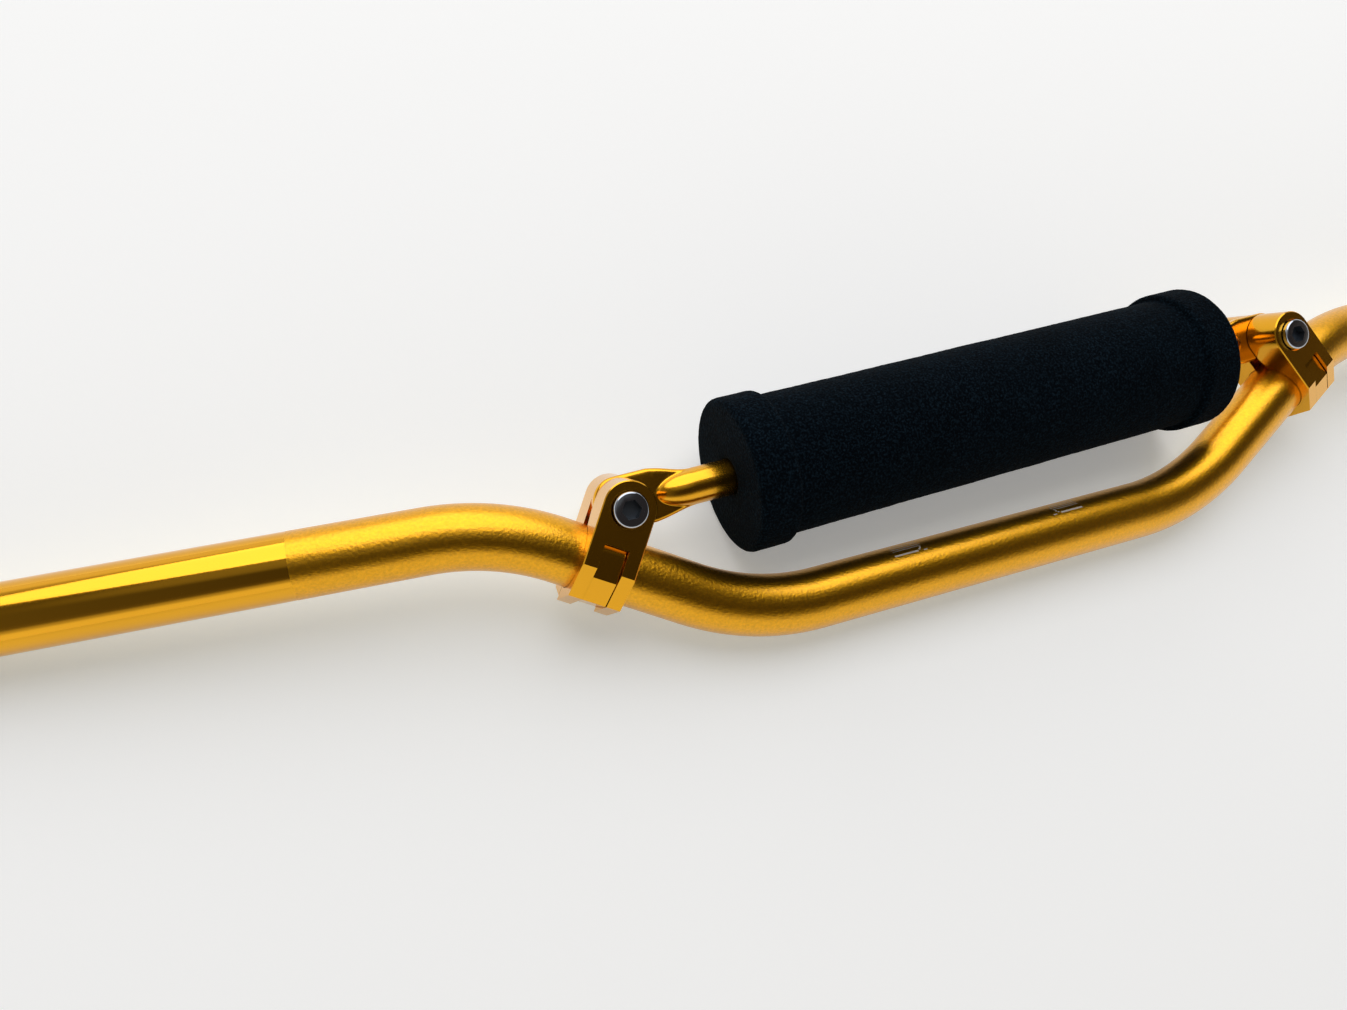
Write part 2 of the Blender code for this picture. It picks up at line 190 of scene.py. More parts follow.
for height, _ in wall_shades[1:-1]:
    ramp.elements.new(height)
for element, (height, shade) in zip(ramp.elements, wall_shades):
    element.color = (*shade, 1.0)
both_walls = tree.nodes.new("ShaderNodeVectorMath")
both_walls.operation = "ADD"
feed(tree, both_walls.inputs[0], walls.outputs["Color"])
feed(tree, both_walls.inputs[1], ranged(tree, ways.outputs["X"], left_wall_from, left_wall_shade))
sky = tree.nodes.new("ShaderNodeBackground")
feed(tree, sky.inputs["Color"], both_walls.outputs[0])
out = tree.nodes.new("ShaderNodeOutputWorld")
feed(tree, out.inputs["Surface"], sky.outputs[0])

# Handlebar tube.
# One length of 22.2 mm aluminium tube with a 3 mm wall, bent four times on a mandrel and
# anodised gold. It is bead blasted between the grips and left bright where the grips go.
bar_half = 0.400
centre_half = 0.0968
riser_angle = math.radians(31.3)
riser_length = 0.0966
grip_rise = math.radians(2.25)
grip_sweep = math.radians(5.73)
lower_bend_r = 0.0912
upper_bend_r = 0.0857
wall = 0.0030
blast_ends = 0.2425
end_edge = 0.0006
bend_steps = 30
riser_step = 0.006
long_step = 0.012
tube_sides = 96
foot = Vector((centre_half, 0.0, 0.0))
riser = Vector((math.cos(riser_angle), math.sin(riser_angle), 0.0))
top = foot + riser * riser_length
level = math.cos(grip_sweep)
grip = Vector((math.cos(grip_rise) * level, math.sin(grip_rise) * level, -math.sin(grip_sweep)))
end = top + grip * ((bar_half - top.x) / grip.x)


def bent_corner(before, corner, after, radius):
    """Points round a bend, from the end of one straight run to the start of the next."""
    ahead = (corner - before).normalized()
    onward = (after - corner).normalized()
    turn = ahead.angle(onward)
    start = corner - ahead * radius * math.tan(turn / 2)
    side = (onward - ahead * ahead.dot(onward)).normalized()
    middle = start + side * radius
    points = []
    for k in range(bend_steps + 1):
        a = turn * k / bend_steps
        points.append(middle - side * radius * math.cos(a) + ahead * radius * math.sin(a))
    return points


def straight(a, b, step):
    """Points strictly between two places."""
    count = max(1, int(round((b - a).length / step)))
    return [a.lerp(b, k / count) for k in range(1, count)]


def tube_line():
    """The tube's centre line from its left end to its right end."""
    low = bent_corner(Vector((0.0, 0.0, 0.0)), foot, top, lower_bend_r)
    high = bent_corner(foot, top, end, upper_bend_r)
    right = low + straight(low[-1], high[0], riser_step)
    right += high + straight(high[-1], end, long_step) + [end]
    left = [Vector((-p.x, p.y, p.z)) for p in reversed(right)]
    return left + straight(left[-1], right[0], long_step) + right


def joined_loops(bm, loops):
    """Faces from each loop of points to the next; a loop of one point closes to a tip."""
    sides = max(len(loop) for loop in loops)
    for loop, after in zip(loops, loops[1:]):
        for s in range(sides):
            t = (s + 1) % sides
            ring = [loop[s % len(loop)], loop[t % len(loop)]]
            ring += [after[t % len(after)], after[s % len(after)]]
            corners = list(dict.fromkeys(ring))
            if len(corners) > 2:
                bm.faces.new(corners)
    bmesh.ops.recalc_face_normals(bm, faces=bm.faces)


def swept_rings(line, rings, sides):
    """Closed mesh through rings given as (radius, place along the line in metres)."""
    lengths = [0.0]
    for a, b in zip(line, line[1:]):
        lengths.append(lengths[-1] + (b - a).length)
    tangents = []
    for k in range(len(line)):
        a = line[max(0, k - 1)]
        b = line[min(len(line) - 1, k + 1)]
        tangents.append((b - a).normalized())
    bm = bmesh.new()
    loops = []
    for radius, place in rings:
        place = min(max(place, 0.0), lengths[-1])
        at = max(k for k in range(len(line) - 1) if lengths[k] <= place + 1e-9)
        share = (place - lengths[at]) / (lengths[at + 1] - lengths[at])
        centre = line[at].lerp(line[at + 1], share)
        ahead = tangents[at].lerp(tangents[at + 1], share).normalized()
        across = ahead.cross(Vector((0.0, 0.0, 1.0))).normalized()
        up = across.cross(ahead).normalized()
        loop = []
        for s in range(sides):
            a = 2 * math.pi * s / sides
            spoke = across * math.cos(a) + up * math.sin(a)
            loop.append(bm.verts.new(centre + spoke * radius))
        loops.append(loop)
    joined_loops(bm, loops + loops[:1])
    return bm


def finished(bm, name, place, crease=30.0):
    """Makes an object of a mesh, with smooth faces and crisp edges, and lays it in its place."""
    mesh = bpy.data.meshes.new(name)
    bm.to_mesh(mesh)
    bm.free()
    mesh.shade_smooth()
    mesh.set_sharp_from_angle(angle=math.radians(crease))
    o = bpy.data.objects.new(name, mesh)
    bpy.context.scene.collection.objects.link(o)
    o.matrix_world = place
    return o


def laid_down(o):
    """Moves a piece's place into its mesh, so that its box is measured along the table."""
    bpy.context.view_layer.update()
    o.data.transform(o.matrix_world)
    o.matrix_world = Matrix.Identity(4)


# Rings stand at each point of the line, and where the blasting ends on it.
line = tube_line()
total = sum((b - a).length for a, b in zip(line, line[1:]))
places = [0.0]
for a, b in zip(line, line[1:]):
    step = (b - a).length
    for border in (-blast_ends, blast_ends):
        if a.x < border < b.x:
            places.append(places[-1] + step * (border - a.x) / (b.x - a.x))
            step *= (b.x - border) / (b.x - a.x)
    places.append(places[-1] + step)
run = [s for s in places[1:-1] if end_edge * 2 < s < total - end_edge * 2]
soft = end_edge * 0.3
chamfer = end_edge * 0.5
bore = tube_r - wall
rings = [(tube_r - end_edge, 0.0), (tube_r - soft, soft), (tube_r, end_edge)]
rings += [(tube_r, s) for s in run]
rings += [(tube_r, total - end_edge), (tube_r - soft, total - soft), (tube_r - end_edge, total)]
rings += [(bore + chamfer, total), (bore, total - chamfer)]
rings += [(bore, s) for s in reversed(run)]
rings += [(bore, chamfer), (bore + chamfer, 0.0)]
tube = finished(swept_rings(line, rings, tube_sides), "bent_tube", bar_place)


def effect_group(name, inputs, outputs):
    """An empty shader node group with named inputs and outputs."""
    group = bpy.data.node_groups.new(name, "ShaderNodeTree")
    for label, kind, value in inputs:
        socket = group.interface.new_socket(label, in_out="INPUT", socket_type=kind)
        socket.default_value = value
    for label, kind in outputs:
        group.interface.new_socket(label, in_out="OUTPUT", socket_type=kind)
    return group, group.nodes.new("NodeGroupInput"), group.nodes.new("NodeGroupOutput")


def noise_field(tree, vector, scale, detail, roughness=0.5):
    """A field of soft noise."""
    node = tree.nodes.new("ShaderNodeTexNoise")
    feed(tree, node.inputs["Vector"], vector)
    feed(tree, node.inputs["Scale"], scale)
    feed(tree, node.inputs["Detail"], detail)
    feed(tree, node.inputs["Roughness"], roughness)
    return node.outputs["Fac"]


def scaled_colour(tree, colour, amount):
    """A colour made darker or lighter."""
    node = tree.nodes.new("ShaderNodeVectorMath")
    node.operation = "SCALE"
    feed(tree, node.inputs[0], colour)
    feed(tree, node.inputs["Scale"], amount)
    return node.outputs[0]


def mixed_colour(tree, share, first, second):
    """A colour between two others; 6, 7 and 2 are a Mix node's sockets for colours."""
    node = tree.nodes.new("ShaderNodeMix")
    node.data_type = "RGBA"
    feed(tree, node.inputs["Factor"], share)
    feed(tree, node.inputs[6], first)
    feed(tree, node.inputs[7], second)
    return node.outputs[2]


def blast_grain_group():
    """The fine pitted grain that glass beads leave, and the slow drift of an anodised colour."""
    group, given, result = effect_group(
        "blast_grain",
        (
            ("Grain Scale", "NodeSocketFloat", 900.0),
            ("Drift", "NodeSocketFloat", 0.05),
            ("Colour", "NodeSocketColor", (0.87, 0.43, 0.02, 1.0)),
            ("Roughness", "NodeSocketFloat", 0.3),
            ("Spread", "NodeSocketFloat", 0.05),
            ("Speckle", "NodeSocketFloat", 0.0),
        ),
        (
            ("Colour", "NodeSocketColor"),
            ("Roughness", "NodeSocketFloat"),
            ("Height", "NodeSocketFloat"),
        ),
    )
    given = given.outputs
    where = group.nodes.new("ShaderNodeTexCoord").outputs["Object"]
    grain = noise_field(group, where, given["Grain Scale"], detail=3.0, roughness=0.6)
    slow = noise_field(group, where, scale=22.0, detail=2.0)
    shift = worked_out(group, "SUBTRACT", slow, 0.5)
    speck = worked_out(group, "SUBTRACT", grain, 0.5)
    amount = worked_out(group, "MULTIPLY_ADD", shift, given["Drift"], 1.0)
    amount = worked_out(group, "MULTIPLY_ADD", speck, given["Speckle"], amount)
    rough = worked_out(group, "MULTIPLY_ADD", shift, given["Spread"], given["Roughness"])
    feed(group, result.inputs["Colour"], scaled_colour(group, given["Colour"], amount))
    feed(group, result.inputs["Roughness"], rough)
    feed(group, result.inputs["Height"], grain)
    return group


blast_grain = blast_grain_group()


def grained(name, values):
    """A new material, its Principled BSDF, and the blasted grain placed with its own values."""
    m = bpy.data.materials.new(name)
    m.use_nodes = True
    tree = m.node_tree
    p = tree.nodes["Principled BSDF"]
    grain = tree.nodes.new("ShaderNodeGroup")
    grain.node_tree = blast_grain
    for label, value in values.items():
        grain.inputs[label].default_value = value
    feed(tree, p.inputs["Base Color"], grain.outputs["Colour"])
    feed(tree, p.inputs["Roughness"], grain.outputs["Roughness"])
    return m, p, grain


def bumped(tree, p, height, strength, distance):
    """Lets a height stand out from a surface."""
    node = tree.nodes.new("ShaderNodeBump")
    feed(tree, node.inputs["Strength"], strength)
    feed(tree, node.inputs["Distance"], distance)
    feed(tree, node.inputs["Height"], height)
    feed(tree, p.inputs["Normal"], node.outputs["Normal"])


gold = (0.83, 0.395, 0.010)
# Painted bounce light: the colour the gold shows only to diffuse rays, which sets the warm glow
# it throws into the table's shade near the bar.
painted_bounce_gold = (0.62, 0.48, 0.17)
grain_depth = 0.0002


def anodised(name, roughness, spread, grain_scale, bump, coat_roughness, speckle=0.0):
    """Gold anodised aluminium: metal under a clear, hard oxide film. Light bouncing off it onto
    the table takes a painted bounce colour instead of the gold.
    """
    m, p, grain = grained(name, {
        "Grain Scale": grain_scale,
        "Colour": (*gold, 1.0),
        "Roughness": roughness,
        "Spread": spread,
        "Drift": 0.10,
        "Speckle": speckle,
    })
    p.inputs["Metallic"].default_value = 1.0
    p.inputs["Coat Weight"].default_value = 0.32
    p.inputs["Coat IOR"].default_value = 1.5
    p.inputs["Coat Roughness"].default_value = coat_roughness
    tree = m.node_tree
    # Diffuse rays see the painted bounce colour, so the light the gold throws on the table is
    # tinted by it, not by the gold.
    path = tree.nodes.new("ShaderNodeLightPath")
    seen_by_table = path.outputs["Is Diffuse Ray"]
    colour = mixed_colour(tree, seen_by_table, grain.outputs["Colour"], (*painted_bounce_gold, 1.0))
    feed(tree, p.inputs["Base Color"], colour)
    bumped(tree, p, grain.outputs["Height"], bump, grain_depth)
    return m


satin_gold = anodised(
    "gold_satin_blasted", roughness=0.285, spread=0.02, grain_scale=1000.0, bump=0.60,
    coat_roughness=0.22, speckle=0.70)
bright_gold = anodised(
    "gold_bright_grip", roughness=0.11, spread=0.04, grain_scale=500.0, bump=0.03,
    coat_roughness=0.08)
tube.data.materials.append(satin_gold)
tube.data.materials.append(bright_gold)
for face in tube.data.polygons:
    if abs(face.center.x) > blast_ends:
        face.material_index = 1
laid_down(tube)
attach(tube, "root")
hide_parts("handlebar_tube")

# Etched ticks.
# A small block of plain pale ticks on each side of the centre section, burnt into the gold with
# a laser: four hair lines along the tube, a wider bar below them and three short dashes.
tick_height = 0.00002
tick_steps = 4
ticks_on_one_side = (  # degrees round the tube, start and stop along it, width
    (12.0, 0.0300, 0.0412, 0.00022),
    (18.0, 0.0296, 0.0414, 0.00022),
    (24.0, 0.0292, 0.0414, 0.00022),
    (29.5, 0.0296, 0.0412, 0.00022),
    (41.5, 0.0318, 0.0416, 0.00075),
    (34.5, 0.0300, 0.0306, 0.0007),
    (38.5, 0.0306, 0.0313, 0.0006),
    (43.0, 0.0281, 0.0296, 0.00045),
)
bm = bmesh.new()
for side in (-1, 1):
    for middle, start, stop, width in ticks_on_one_side:
        half_turn = width / 2 / tube_r
        layers = []
        for deep in (-tick_height, tick_height):
            layer = []
            for k in range(tick_steps + 1):
                a = math.radians(middle) + half_turn * (2 * k / tick_steps - 1)
                ring = Vector((0.0, math.cos(a), math.sin(a))) * (tube_r + deep)
                layer.append([bm.verts.new(ring + Vector((side * x, 0.0, 0.0)))
                              for x in (start, stop)])
            layers.append(layer)
        under, over = layers
        for k in range(tick_steps):
            for layer in layers:
                bm.faces.new((layer[k][0], layer[k][1], layer[k + 1][1], layer[k + 1][0]))
            for tip in (0, 1):
                bm.faces.new((under[k][tip], under[k + 1][tip], over[k + 1][tip], over[k][tip]))
        for k in (0, tick_steps):
            bm.faces.new((under[k][0], under[k][1], over[k][1], over[k][0]))
bmesh.ops.recalc_face_normals(bm, faces=bm.faces)
ticks = finished(bm, "etched_ticks", bar_place)
etched_pale, p, _ = grained("etched_pale", {
    "Grain Scale": 1700.0,
    "Colour": (0.62, 0.55, 0.44, 1.0),
    "Roughness": 0.5,
    "Drift": 0.5,
})
p.inputs["Metallic"].default_value = 0.2
ticks.data.materials.append(etched_pale)
laid_down(ticks)
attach(ticks, "root")

# Crossbar.
# A half inch aluminium rod, anodised with the tube. Its two ends are pressed flat in a die
# into rounded eyes for the clamp bolts, so the round rod runs out on the flats in a nose.
clamp_at = {-1: 0.0590, 1: 0.0749}
bolt_rise = 0.0193
bolt_hole_r = 0.0043
rod_r = 0.00635
rod_rise = 0.0013
rod_sides = 160
rod_crease = 55.0
drill_sides = 64
drill_reach = 0.01
palm = 0.0094
palm_rise = 0.0006
palm_half_thick = 0.0022
palm_edge = 0.0015
eye_reach = 0.0084
straight_to = 0.0125
taper_to = 0.0275
taper_swell = 0.045
shank_r = rod_r * 0.99
nose_start = 0.0131
nose_length = 0.0142
nose_fillet = 0.0004


def clamp_place(side):
    """Frame of one clamp: x along the riser, y up through the bolt, z along the bolt."""
    middle = foot + riser * clamp_at[side]
    turn = Matrix.Rotation(side * riser_angle, 4, "Z")
    return Matrix.Translation((side * middle.x, middle.y, 0.0)) @ turn


def bolt_place(side):
    """Frame on a clamp's bolt, z towards its head."""
    return clamp_place(side) @ Matrix.Translation((0.0, bolt_rise, 0.0))


left_bolt = bolt_place(-1).translation
right_bolt = bolt_place(1).translation
rod_way = (right_bolt - left_bolt).normalized()
rod_turn = Matrix.Rotation(math.atan2(rod_way.y, rod_way.x), 4, "Z")
rod_middle = (left_bolt + right_bolt) / 2 + rod_turn @ Vector((0.0, rod_rise, 0.0))
rod_place = Matrix.Translation(rod_middle) @ rod_turn
rod_half = (right_bolt - left_bolt).length / 2


def pressed_rod_distance(x, y, z):
    """Signed distance to the rod with one pressed end; x runs from the eye towards the rod."""
    share = np.clip((x - straight_to) / (taper_to - straight_to), 0.0, 1.0)
    drop = share - taper_swell * np.sin(share * 2 * np.pi)
    top_y = (palm_rise + palm) + drop * (shank_r - palm_rise - palm)
    low_y = (palm_rise - palm) + drop * (-shank_r - palm_rise + palm)
    flank = np.maximum(y - top_y, low_y - y)
    eye = np.sqrt((x * palm / eye_reach) ** 2 + (y - palm_rise) ** 2) - palm
    a = np.where(x < 0.0, eye, flank) + palm_edge
    b = np.abs(z) - palm_half_thick + palm_edge
    rounded = np.sqrt(np.maximum(a, 0.0) ** 2 + np.maximum(b, 0.0) ** 2)
    plate = rounded - palm_edge + np.minimum(np.maximum(a, b), 0.0)
    reach = 1.0 - np.clip((x - nose_start) / nose_length, 0.0, 1.0)
    nose = np.sqrt(y * y + z * z) - rod_r * np.sqrt(1.0 - reach * reach)
    nose = nose + np.maximum(nose_start - x, 0.0)
    mix = np.clip(0.5 + 0.5 * (nose - plate) / nose_fillet, 0.0, 1.0)
    return nose * (1.0 - mix) + plate * mix - nose_fillet * mix * (1.0 - mix)


def pressed_rod():
    """The whole crossbar as rings round its axis, each ring found on the shape above."""
    tip_stations = [-0.00839, -0.00836]
    first, last, count = -0.0083, 0.0330, 140
    stations = tip_stations + [first + (last - first) * k / count for k in range(count + 1)]
    places = [-rod_half + s for s in stations]
    places += [rod_half - s for s in reversed(stations)]
    angles = np.linspace(0.0, 2 * np.pi, rod_sides, endpoint=False)
    angles = angles - 0.22 * np.sin(2 * angles)  # closer together at the palm's two edges
    outside_r = 0.013
    halvings = 26
    bm = bmesh.new()
    loops = []
    for place in places:
        from_eye = rod_half - abs(place)
        low = np.zeros(rod_sides)
        high = np.full(rod_sides, outside_r)
        for _ in range(halvings):
            mid = (low + high) / 2
            distance = pressed_rod_distance(from_eye, mid * np.cos(angles), mid * np.sin(angles))
            low = np.where(distance < 0.0, mid, low)
            high = np.where(distance < 0.0, high, mid)
        r = (low + high) / 2
        loops.append([bm.verts.new((place, ri * math.cos(a), ri * math.sin(a)))
                      for ri, a in zip(r, angles)])
    joined_loops(bm, loops)
    bm.faces.new(loops[0])
    bm.faces.new(loops[-1])
    bmesh.ops.recalc_face_normals(bm, faces=bm.faces)
    return bm


def turned(name, profile, sides, place, crease=30.0):
    """A closed turned body from (radius, height) points that start and end on the axis."""
    bm = bmesh.new()
    loops = []
    for r, z in profile:
        points = sides if r > 1e-7 else 1
        loop = []
        for s in range(points):
            a = 2 * math.pi * s / sides
            loop.append(bm.verts.new((r * math.cos(a), r * math.sin(a), z)))
        loops.append(loop)
    joined_loops(bm, loops)
    return finished(bm, name, place, crease)


def hole(side, radius, low, high):
    """A drill on a clamp's bolt axis."""
    profile = [(0.0, low), (radius, low), (radius, high), (0.0, high)]
    return turned("drill", profile, drill_sides, bar_place @ bolt_place(side))


def machine(o, tool, operation, keep=False, crease=17.0):
    """Cuts a piece with a tool, or keeps what the two share, and tidies the mesh."""
    same_place = 0.000008
    same_plane = 0.0005
    m = o.modifiers.new("machine", "BOOLEAN")
    m.operation = operation
    m.solver = "EXACT"
    m.object = tool
    deps = bpy.context.evaluated_depsgraph_get()
    deps.update()
    mesh = bpy.data.meshes.new_from_object(o.evaluated_get(deps))
    o.modifiers.clear()
    o.data = mesh
    bm = bmesh.new()
    bm.from_mesh(mesh)
    bmesh.ops.remove_doubles(bm, verts=bm.verts, dist=same_place)
    bmesh.ops.dissolve_limit(bm, angle_limit=same_plane, verts=bm.verts, edges=bm.edges)
    bm.to_mesh(mesh)
    bm.free()
    mesh.shade_smooth()
    mesh.set_sharp_from_angle(angle=math.radians(crease))
    if not keep:
        bpy.data.objects.remove(tool, do_unlink=True)


crossbar = finished(pressed_rod(), "pressed_crossbar", bar_place @ rod_place, rod_crease)
for side in (-1, 1):
    drill = hole(side, bolt_hole_r, -drill_reach, drill_reach)
    machine(crossbar, drill, "DIFFERENCE", crease=rod_crease)
crossbar.data.materials.append(anodised(
    "gold_rod", roughness=0.20, spread=0.04, grain_scale=900.0, bump=0.12, coat_roughness=0.15))
laid_down(crossbar)
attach(crossbar, "root")
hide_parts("crossbar")

# Crossbar pad.
# A roll of black closed cell foam pushed on the rod, with a thicker collar at each end.
# Its surface is cut foam: matt, finely pored and never quite straight.
pad_half = 0.1030
pad_shift = 0.0006
pad_r = 0.0254
collar_r = 0.0278
collar_width = 0.0155
pad_edge = 0.0022
mouth_edge = 0.0014
pad_sides = 240
body_steps = 170
pore_depth = 0.00011
pore_scale = 620.0
fine_pore_scale = 1300.0
sway_depth = 0.00012
sway_scale = 60.0


def pad_profile():
    """Half of the pad's outline as (radius, place along the rod), from the bore outwards."""
    mouth_r = rod_r + mouth_edge
    out = [(rod_r + 0.0001, pad_half - mouth_edge), (rod_r + 0.0004, pad_half - 0.0005)]
    out.append((mouth_r, pad_half - 0.0001))
    quarter = [k / 8 for k in range(1, 9)]
    for t in quarter:
        out.append((mouth_r + (collar_r - pad_edge - mouth_r) * t, pad_half))
    middle_r = collar_r - pad_edge
    middle_x = pad_half - pad_edge
    for t in quarter:
        a = math.radians(90.0 - 90.0 * t)
        out.append((middle_r + pad_edge * math.cos(a), middle_x + pad_edge * math.sin(a)))
    collar_flat = collar_width - pad_edge * 2
    for k in range(1, 7):
        out.append((collar_r, middle_x - collar_flat * k / 6))
    # The collar's inner edge is round over the first part of its step down to the body, and a
    # hollow fillet takes it on from there.
    inner = pad_half - collar_width
    round_fall = (collar_r - pad_r) * 0.55
    fillet_fall = (collar_r - pad_r) * 0.45
    fillet_from = inner + pad_edge * 0.2
    fillet_run = 0.0012
    for t in quarter:
        a = math.radians(90.0 * t)
        fall = round_fall * (1 - math.cos(a))
        out.append((collar_r - fall, inner + pad_edge - pad_edge * 0.8 * math.sin(a)))
    for k in range(1, 6):
        a = math.radians(90.0 * k / 5)
        fall = round_fall + fillet_fall * math.sin(a)
        out.append((collar_r - fall, fillet_from - fillet_run * (1 - math.cos(a))))
    return out


half = pad_profile()
inner = half[-1][1]
profile = half + [(pad_r, inner - 2 * inner * k / body_steps) for k in range(1, body_steps)]
profile += [(r, -x) for r, x in reversed(half)]
bm = bmesh.new()
loops = []
for r, x in profile:
    loop = []
    for s in range(pad_sides):
        a = 2 * math.pi * s / pad_sides
        radial = Vector((0.0, math.cos(a), math.sin(a)))
        place = radial * r + Vector((x, 0.0, 0.0))
        if r > rod_r + 0.0010:  # the bore stays smooth
            pores = noise.noise(place * pore_scale) + 0.6 * noise.noise(place * fine_pore_scale)
            sway = noise.noise(place * sway_scale)
            place += radial * (pore_depth * pores + sway_depth * sway)
        loop.append(bm.verts.new(place))
    loops.append(loop)
joined_loops(bm, loops + loops[:1])
pad_place = bar_place @ rod_place @ Matrix.Translation((pad_shift, 0.0, 0.0))
pad = finished(bm, "foam_crossbar_pad", pad_place, crease=70.0)


def foam_material():
    """Black cut foam: open pores, a dusty sheen and uneven depth of black."""
    m = bpy.data.materials.new("black_foam")
    m.use_nodes = True
    tree = m.node_tree
    p = tree.nodes["Principled BSDF"]
    p.inputs["Roughness"].default_value = 0.9
    p.inputs["Specular IOR Level"].default_value = 0.03
    p.inputs["Sheen Weight"].default_value = 0.004
    p.inputs["Sheen Roughness"].default_value = 0.5
    where = tree.nodes.new("ShaderNodeTexCoord").outputs["Object"]
    pores = tree.nodes.new("ShaderNodeTexVoronoi")
    feed(tree, pores.inputs["Vector"], where)
    feed(tree, pores.inputs["Scale"], 900.0)
    fine = noise_field(tree, where, scale=1400.0, detail=4.0)
    slow = noise_field(tree, where, scale=45.0, detail=3.0)
    deep_black = (0.0004, 0.0016, 0.0030, 1.0)
    dusty_black = (0.0085, 0.0195, 0.029, 1.0)
    dust = ranged(tree, fine, (0.47, 0.78))
    base = mixed_colour(tree, dust, deep_black, dusty_black)
    drift = ranged(tree, slow, (0.3, 0.7), (0.8, 1.2))
    feed(tree, p.inputs["Base Color"], scaled_colour(tree, base, drift))
    height = worked_out(tree, "ADD", pores.outputs["Distance"], fine)
    bumped(tree, p, height, strength=0.6, distance=0.0004)
    return m


pad.data.materials.append(foam_material())
laid_down(pad)
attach(pad, "root")
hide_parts("crossbar_pad")

# Clamps.
# Each is two jaws machined from aluminium bar and anodised bright: the tongue of the rear jaw
# hooks up between the two prongs of the front jaw, and one bolt pulls their ears together.
jaw_half = 0.0092
jaw_face = 0.0154
jaw_stock = jaw_face + 0.002
rim_edge = 0.00035
broken_edge = 0.00028
sharp_from = math.radians(17.0)
half_ear_gap = 0.0025
ear_top = 0.049
ear_crown = 0.0005
ear_rake = 0.105
seat_room = 0.0002
slot_top = 0.0063
prong_at = 0.0043
prong_close = 0.00004
prong_room = 0.0004
tongue_tip = slot_top - 0.0003
tongue_face = 0.0137
tongue_back = 0.0078
tongue_round = 0.0045
rear_ear_foot = 0.01
room_back = -0.0063
room_low = -0.0199
room_top = 0.009
head_r = 0.0060
head_room = 0.0005
counterbore = 0.0032
drill_over = 0.001
past = 0.03
past_side = 0.02
# Points of the side view: along the bolt from its middle, and up from the tube's centre.
shoulder = (jaw_face, -0.0020)
chin = (0.0093, -0.0131)
front_sole = (-0.0046, -0.0159)
front_ear_foot = [(half_ear_gap + 0.0016, 0.01055), (half_ear_gap, 0.01605)]
rear_sole = (-0.0046, -0.0142)
heel = (-0.0126, -0.0120)
heel_top = (-jaw_face, -0.0065)


def arc(centre, radius, start, stop, steps):
    """Points of an arc in a plane, angles in degrees."""
    points = []
    for k in range(steps + 1):
        a = math.radians(start + (stop - start) * k / steps)
        points.append((centre[0] + radius * math.cos(a), centre[1] + radius * math.sin(a)))
    return points


def plate(name, outline, low, high, place):
    """A block over a flat outline."""
    bm = bmesh.new()
    face = bm.faces.new([bm.verts.new((x, y, low)) for x, y in outline])
    raised = bmesh.ops.extrude_face_region(bm, geom=[face])["geom"]
    corners = [v for v in raised if isinstance(v, bmesh.types.BMVert)]
    bmesh.ops.translate(bm, vec=(0.0, 0.0, high - low), verts=corners)
    bmesh.ops.recalc_face_normals(bm, faces=bm.faces)
    return finished(bm, name, place)


def ear_blank(name, side, low, high, rim):
    """The round topped blank of a jaw, its top raked up to the back, its rim finely broken."""
    blank_foot = -0.022
    outline = arc((0.0, bolt_rise + ear_crown), jaw_half, 0.0, 180.0, steps=48)
    outline += [(-jaw_half, blank_foot), (jaw_half, blank_foot)]
    blank = plate(name, outline, low, high, bar_place @ clamp_place(side))
    mesh = blank.data
    for v in mesh.vertices:
        if v.co.y > 0.0:
            v.co.y += (jaw_face - v.co.z) * ear_rake
    weight = mesh.attributes.new("bevel_weight_edge", "FLOAT", "EDGE")
    for e in mesh.edges:
        at_rim = all(abs(mesh.vertices[v].co.z - rim) < 1e-6 for v in e.vertices)
        weight.data[e.index].value = 1.0 if at_rim else 0.0
    fine = blank.modifiers.new("fine_edge", "BEVEL")
    fine.width = rim_edge
    fine.segments = 1
    fine.limit_method = "WEIGHT"
    return blank


def reach_line(a, b, n):
    """Height at which the line through two side view points reaches n."""
    return a[1] + (b[1] - a[1]) * (n - a[0]) / (b[0] - a[0])


def side_plate(name, outline, low, high, side):
    """A block over an outline in a clamp's side view, from one place on the riser to another."""
    turn = Matrix.Rotation(math.radians(-90.0), 4, "Y")
    return plate(name, outline, low, high, bar_place @ clamp_place(side) @ turn)


def seat_reamer():
    """The tube with a little room round it, closed at both ends, to cut the jaws' seats."""
    line = tube_line()
    rings = [(tube_r + seat_room, 0.0)]
    for a, b in zip(line, line[1:]):
        rings.append((tube_r + seat_room, rings[-1][1] + (b - a).length))
    bm = swept_rings(line, rings, tube_sides)
    from_end_to_end = [f for f in bm.faces if max(e.calc_length() for e in f.edges) > 0.1]
    bmesh.ops.delete(bm, geom=from_end_to_end, context="FACES")
    bmesh.ops.holes_fill(bm, edges=[e for e in bm.edges if e.is_boundary], sides=0)
    bmesh.ops.recalc_face_normals(bm, faces=bm.faces)
    return finished(bm, "seat_reamer", bar_place)


def at_close_joint(v):
    """True on the edge where tongue and prong meet in one facet with no gap to see."""
    slack, facet_top, facet_back = 0.0001, -0.0015, 0.009
    return abs(v.co.x + prong_at) < slack and v.co.y < facet_top and v.co.z > facet_back


